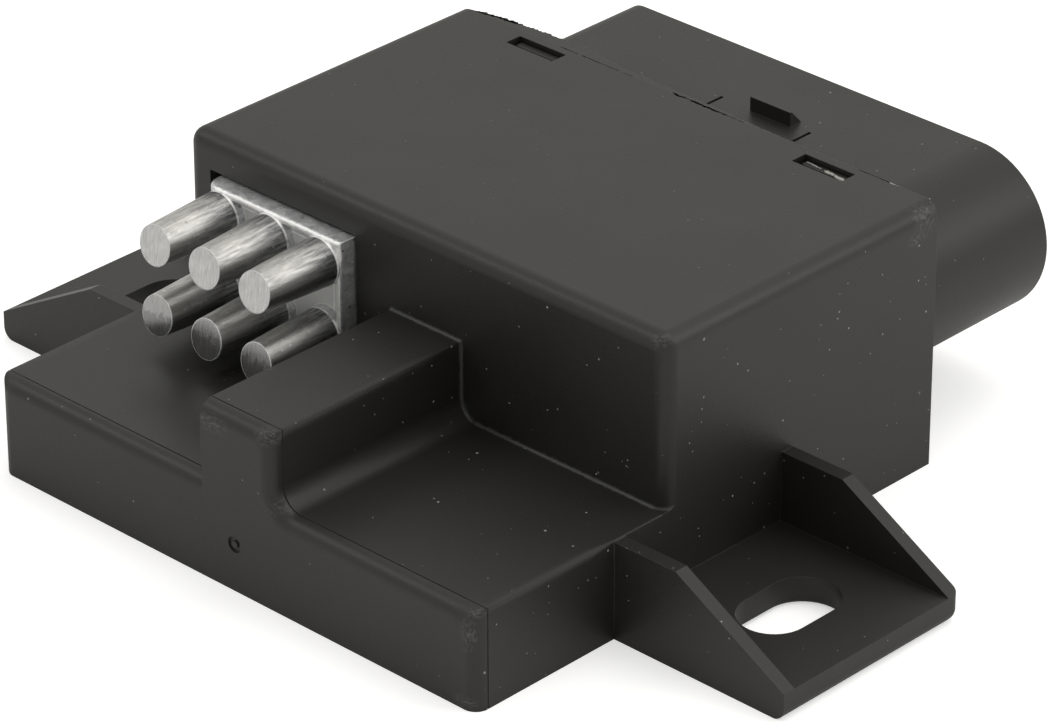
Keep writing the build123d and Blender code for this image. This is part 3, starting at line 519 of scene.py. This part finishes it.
def makeCastAluminium(look):
    material, tree, shader = startMaterial("castAluminium")
    at = splitPlace(tree)
    facing = addNode(tree, "ShaderNodeNewGeometry").outputs["True Normal"]
    onPin = doMath(tree, "LESS_THAN", at["Y"], look["pinsStart"])
    front = doMath(tree, "GREATER_THAN", doVector(tree, "DOT_PRODUCT", facing, look["front"]), look["frontness"])
    onEnd = doMath(tree, "MULTIPLY", onPin, front)
    onPocket = doMath(tree, "SUBTRACT", front, onEnd)
    drag, cuts, blotch = (placeGroup(tree, toolMarks, look[name])["Shade"] for name in ("drag", "cuts", "blotches"))
    flecks, pits = (placeGroup(tree, dustSpecks, look[name])["Mask"] for name in ("flecks", "pits"))
    grain = placeGroup(tree, mouldGrain, look["grain"])
    roundedEdges = placeGroup(tree, edgeWearAndHighlight, look["edgeWearAndHighlight"])
    # painted highlights: a ring round each pin's root and lines along edges, together with the partly worn rounded
    # edges
    fromRing = doMath(tree, "ABSOLUTE", doMath(tree, "SUBTRACT", at["Y"], look["paintedRootRing"]))
    paintedRootRing = doMath(tree, "MULTIPLY", remap(tree, fromRing, *look["paintedRootRingFade"], 1.0, 0.0),
                      remap(tree, blotch, *look["paintedRootRingBlotches"]))
    wearAndPaintedHighlight = strongest(tree, [roundedEdges["Mask"], paintedRootRing, placeRows(tree, stroke, strokeNames, look["wearAndPaintedHighlight"])])

    pinColour = mixColours(tree, drag, look["pin"], look["streak"])
    # painted reflection of the dark box, deepest at the pins' roots
    rootReflectionMask = remap(tree, at["Y"], *look["paintedRootReflectionPlaces"], 0.0, look["paintedRootReflectionDepth"])
    rootReflectionMask = doMath(tree, "MULTIPLY", rootReflectionMask, remap(tree, drag, *look["paintedRootReflectionDrag"]))
    pinColour = mixColours(tree, rootReflectionMask, pinColour, look["paintedRootReflection"])
    pinColour = tint(tree, pinColour, flecks, look["pinFlecks"], look["fleck"])
    pinColour = tint(tree, pinColour, pits, look["pinPits"], look["pit"])
    plateColour = mixColours(tree, blotch, look["plate"], look["blotch"])
    plateColour = tint(tree, plateColour, pits, look["platePits"], look["pit"])
    plateColour = tint(tree, plateColour, flecks, look["plateFlecks"], look["fleck"])
    plateColour = mixColours(tree, onPocket, plateColour, look["pocket"])
    endColour = mixColours(tree, cuts, look["end"], look["endStreak"])
    # painted reflection of the dark base on the ends of the lower row of pins
    wobble = doMath(tree, "MULTIPLY", doMath(tree, "SUBTRACT", blotch, 0.5), look["paintedEndReflectionWobble"])
    below, fade = look["paintedEndReflectionBelow"], look["paintedEndReflectionFade"]
    paintedEndReflection = remap(tree, doMath(tree, "ADD", at["Z"], wobble), below - fade, below + fade, *look["paintedEndReflectionDepths"])
    paintedEndReflection = doMath(tree, "MULTIPLY", paintedEndReflection, doMath(tree, "LESS_THAN", at["Z"], look["lowerRow"]))
    endColour = mixColours(tree, paintedEndReflection, endColour, look["paintedEndReflection"])
    colour = mixColours(tree, onPin, plateColour, pinColour)
    colour = mixColours(tree, onEnd, colour, endColour)
    feed(tree, shader["Base Color"], mixColours(tree, wearAndPaintedHighlight, colour, look["edge"]))

    metal = mixNumbers(tree, onPin, look["plateMetal"], look["pinMetal"])
    metal = mixNumbers(tree, onPocket, metal, look["pocketMetal"])
    feed(tree, shader["Metallic"], mixNumbers(tree, wearAndPaintedHighlight, metal, look["edgeMetal"]))

    plateRough = mixNumbers(tree, blotch, *look["plateRoughness"])
    plateRough = mixNumbers(tree, onPocket, plateRough, look["pocketRoughness"])
    rough = mixNumbers(tree, onPin, plateRough, mixNumbers(tree, drag, *look["pinRoughness"]))
    rough = mixNumbers(tree, onEnd, rough, mixNumbers(tree, cuts, *look["endRoughness"]))
    feed(tree, shader["Roughness"], mixNumbers(tree, wearAndPaintedHighlight, rough, look["edgeRoughness"]))

    height = mixNumbers(tree, onPin, grain["Height"], doMath(tree, "MULTIPLY", drag, look["dragDepth"]))
    height = mixNumbers(tree, onEnd, height, doMath(tree, "MULTIPLY", cuts, look["cutDepth"]))
    feed(tree, shader["Normal"], bumpFrom(tree, height, roundedEdges["Normal"]))
    return material


# the finishes of the pieces inside the case: two tones of one grain, with its scale and depth
innerLooks = {
    "seal_rubber": {"colour": (0.02, 0.02, 0.021, 1.0), "second": (0.035, 0.034, 0.033, 1.0), "scale": 4.0,
                    "roughness": (0.6, 0.8), "metallic": 0.0, "depth": 0.01},
    "pad_rubber": {"colour": (0.30, 0.33, 0.36, 1.0), "second": (0.38, 0.41, 0.43, 1.0), "scale": 6.0,
                   "roughness": (0.7, 0.9), "metallic": 0.0, "depth": 0.01},
    "board_laminate": {"colour": (0.012, 0.10, 0.035, 1.0), "second": (0.02, 0.15, 0.05, 1.0), "scale": 1.2,
                       "roughness": (0.25, 0.4), "metallic": 0.0, "depth": 0.01},
    "spring_steel": {"colour": (0.42, 0.42, 0.43, 1.0), "second": (0.55, 0.55, 0.55, 1.0), "scale": 2.0,
                     "roughness": (0.25, 0.4), "metallic": 1.0, "depth": 0.005},
    "ferrite": {"colour": (0.045, 0.044, 0.046, 1.0), "second": (0.07, 0.069, 0.07, 1.0), "scale": 5.0,
                "roughness": (0.5, 0.7), "metallic": 0.0, "depth": 0.02},
    "enamelled_wire": {"colour": (0.50, 0.17, 0.05, 1.0), "second": (0.62, 0.25, 0.08, 1.0), "scale": 1.5,
                       "roughness": (0.2, 0.3), "metallic": 0.9, "depth": 0.004},
    "chip_resin": {"colour": (0.02, 0.02, 0.021, 1.0), "second": (0.035, 0.035, 0.036, 1.0), "scale": 8.0,
                   "roughness": (0.5, 0.65), "metallic": 0.0, "depth": 0.012},
    "ceramic": {"colour": (0.42, 0.30, 0.19, 1.0), "second": (0.50, 0.37, 0.25, 1.0), "scale": 6.0,
                "roughness": (0.4, 0.55), "metallic": 0.0, "depth": 0.006},
    "resistor_film": {"colour": (0.03, 0.03, 0.034, 1.0), "second": (0.055, 0.055, 0.06, 1.0), "scale": 6.0,
                      "roughness": (0.3, 0.45), "metallic": 0.0, "depth": 0.004},
    "can_metal": {"colour": (0.60, 0.60, 0.61, 1.0), "second": (0.70, 0.70, 0.70, 1.0), "scale": 1.5,
                  "roughness": (0.25, 0.4), "metallic": 1.0, "depth": 0.006},
    "tinned_copper": {"colour": (0.62, 0.60, 0.56, 1.0), "second": (0.74, 0.72, 0.68, 1.0), "scale": 2.5,
                      "roughness": (0.22, 0.4), "metallic": 1.0, "depth": 0.008},
}

# what those finishes share: the grain's shades between which tone and roughness change, and the edges
innerShared = {"toneShades": (0.35, 0.65), "roughShades": (0.3, 0.7), "edgeWearAndHighlight": {"Radius": 0.12, "Amount": 0.5}}


def makeInner(name, look, shared):
    material, tree, shader = startMaterial(name, {"Metallic": look["metallic"]})
    grain = placeGroup(tree, mouldGrain, {"Scale": look["scale"], "Depth": look["depth"]})
    roundedEdges = placeGroup(tree, edgeWearAndHighlight, shared["edgeWearAndHighlight"])
    tone = remap(tree, grain["Shade"], *shared["toneShades"])
    feed(tree, shader["Base Color"], mixColours(tree, tone, look["colour"], look["second"]))
    feed(tree, shader["Roughness"], remap(tree, grain["Shade"], *shared["roughShades"], *look["roughness"]))
    feed(tree, shader["Normal"], bumpFrom(tree, grain["Height"], roundedEdges["Normal"]))
    return material


finishes = {name: makeInner(name, look, innerShared) for name, look in innerLooks.items()}
finishes["black_plastic"] = makeBlackPlastic(plasticLook)
finishes["cast_aluminium"] = makeCastAluminium(aluminiumLook)

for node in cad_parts.values():
    slotName = node.material_slots[0].material.name.split(".")[0]
    node.material_slots[0].material = finishes[slotName]
print("materials assigned to", len(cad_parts), "nodes")


# Flash: a thin ragged lip of plastic along the rear edge of the box's top

flashLook = {
    "rear": 31.1,
    "top": 26.97,
    "thickness": 0.22,
    "overlap": 0.12,  # how far it reaches back over the box
    "step": 0.16,
    # x and how far the lip stands out there
    "reach": ((-28.7, 0.05), (-28.0, 0.45), (-26.5, 0.75), (-24.7, 1.05), (-20.0, 1.35), (-17.2, 1.55), (-14.5, 1.30),
              (-7.7, 0.80), (-1.7, 0.70), (4.2, 0.55), (6.2, 0.32), (12.0, 0.18), (21.0, 0.12), (23.9, 0.02)),
    "leastReach": 0.02,
    "ragged": 0.16,  # how far the outer edge strays, times a draw from raggedSpread
    "raggedSpread": (-1.0, 0.6),
    "raggedUnder": 0.1,  # how far its underside strays upwards
    "droop": 0.05,  # how much lower the outer edge lies
    "seed": 7,
}


def reachAt(x, points):
    for (x0, r0), (x1, r1) in zip(points, points[1:]):
        if x <= x1:
            return r0 + (r1 - r0) * (x - x0) / (x1 - x0)
    return points[-1][1]


def makeFlash(look):
    dice = random.Random(look["seed"])
    first, last = look["reach"][0][0], look["reach"][-1][0]
    count = int((last - first) / look["step"])
    top, bottom = look["top"], look["top"] - look["thickness"]
    inner = look["rear"] - look["overlap"]
    points, faces = [], []
    for index in range(count + 1):
        x = first + index * look["step"]
        stray = look["ragged"] * dice.uniform(*look["raggedSpread"])
        outer = look["rear"] + max(look["leastReach"], reachAt(x, look["reach"]) + stray)
        low = bottom + look["raggedUnder"] * dice.random()
        points += [(x, inner, top), (x, outer, top - look["droop"]), (x, outer, low), (x, inner, low)]
    for start in range(0, 4 * count, 4):
        for side in range(4):
            after = (side + 1) % 4
            faces.append((start + side, start + after, start + 4 + after, start + 4 + side))
    faces += [(0, 3, 2, 1), tuple(4 * count + corner for corner in range(4))]
    mesh = bpy.data.meshes.new("flash")
    mesh.from_pydata([tuple(v * mm for v in point) for point in points], [], faces)
    mesh.materials.append(finishes["black_plastic"])
    flash = bpy.data.objects.new("flash", mesh)
    bpy.context.scene.collection.objects.link(flash)
    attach(flash, "root")


makeFlash(flashLook)
print("flash made")


# Floor, sky, lights and camera

floorLook = {"size": 3.0, "colour": (0.8, 0.8, 0.8, 1.0), "roughness": 0.9, "glow": 0.5, "mirroredGlow": 0.08}


def makeFloor(look):
    half = look["size"] / 2
    mesh = bpy.data.meshes.new("floor")
    mesh.from_pydata([(-half, -half, 0), (half, -half, 0), (half, half, 0), (-half, half, 0)], [], [(0, 1, 2, 3)])
    floor = bpy.data.objects.new("floor", mesh)
    bpy.context.scene.collection.objects.link(floor)
    material, tree, shader = startMaterial("paleFloor", {
        "Specular IOR Level": 0.0,
        "Base Color": look["colour"],
        "Roughness": look["roughness"],
        "Emission Color": grey(1.0),
    })
    # it glows to the camera and a little in reflections, and lights nothing
    rays = addNode(tree, "ShaderNodeLightPath").outputs
    seen = doMath(tree, "MAXIMUM", rays["Is Camera Ray"], rays["Is Transmission Ray"])
    glow = doMath(tree, "ADD", doMath(tree, "MULTIPLY", seen, look["glow"]),
                  doMath(tree, "MULTIPLY", rays["Is Glossy Ray"], look["mirroredGlow"]))
    feed(tree, shader["Emission Strength"], glow)
    mesh.materials.append(material)


skyLook = {"colour": (1.0, 0.99, 0.95, 1.0), "level": 0.62, "seen": 1.0}  # seen is its level to the camera


def makeSky(look):
    world = bpy.data.worlds.new("paleSky")
    world.use_nodes = True
    bpy.context.scene.world = world
    tree = world.node_tree
    byCamera = addNode(tree, "ShaderNodeLightPath").outputs["Is Camera Ray"]
    background = tree.nodes["Background"].inputs
    feed(tree, background["Color"], mixColours(tree, byCamera, look["colour"], grey(1.0)))
    feed(tree, background["Strength"], mixNumbers(tree, byCamera, look["level"], look["seen"]))


lampLooks = {
    "topLamp": {"place": (0.10, 0.15, 0.75), "size": 0.5, "power": 1.5, "colour": (1.0, 0.98, 0.94)},
    "rightLamp": {"place": (0.27, 0.22, 0.24), "size": 0.24, "power": 0.35, "colour": (1.0, 0.99, 0.97)},
    "leftLamp": {"place": (-0.46, -0.30, 0.51), "size": 0.2, "power": 0.5, "colour": (1.0, 1.0, 1.0)},
    "rearLamp": {"place": (-0.55, 0.55, 0.45), "size": 0.8, "power": 0.45, "colour": (1.0, 0.98, 0.91)},
}


def makeLamp(name, look):
    data = bpy.data.lights.new(name, "AREA")
    data.shape = "SQUARE"
    data.size = look["size"]
    data.energy = look["power"]
    data.color = look["colour"]
    lamp = bpy.data.objects.new(name, data)
    lamp.location = look["place"]
    lamp.rotation_euler = (-Vector(look["place"])).to_track_quat("-Z", "Y").to_euler()  # it faces the part
    bpy.context.scene.collection.objects.link(lamp)


cameraLook = {
    "place": (0.3171134, -0.3217576, 0.26054263),
    "right": (0.72012722, 0.69383702, -0.00264217),
    "up": (-0.33270513, 0.34864834, 0.87621437),
    "sensor": 36.0,
    "lens": 195.158,
    "shift": (0.01738, -0.00548),
    "nearest": 0.01,
}


def makeCamera(look):
    data = bpy.data.cameras.new("camera")
    data.sensor_width = look["sensor"]
    data.lens = look["lens"]
    data.shift_x, data.shift_y = look["shift"]
    data.clip_start = look["nearest"]
    camera = bpy.data.objects.new("camera", data)
    right, up = Vector(look["right"]), Vector(look["up"])
    turn = Matrix((right, up, right.cross(up))).transposed().to_4x4()
    camera.matrix_world = Matrix.Translation(look["place"]) @ turn
    bpy.context.scene.collection.objects.link(camera)
    bpy.context.scene.camera = camera


makeFloor(floorLook)
makeSky(skyLook)
for lampName, lampLook in lampLooks.items():
    makeLamp(lampName, lampLook)
makeCamera(cameraLook)
bpy.context.scene.view_settings.view_transform = "Standard"
print("floor, lights and camera placed")
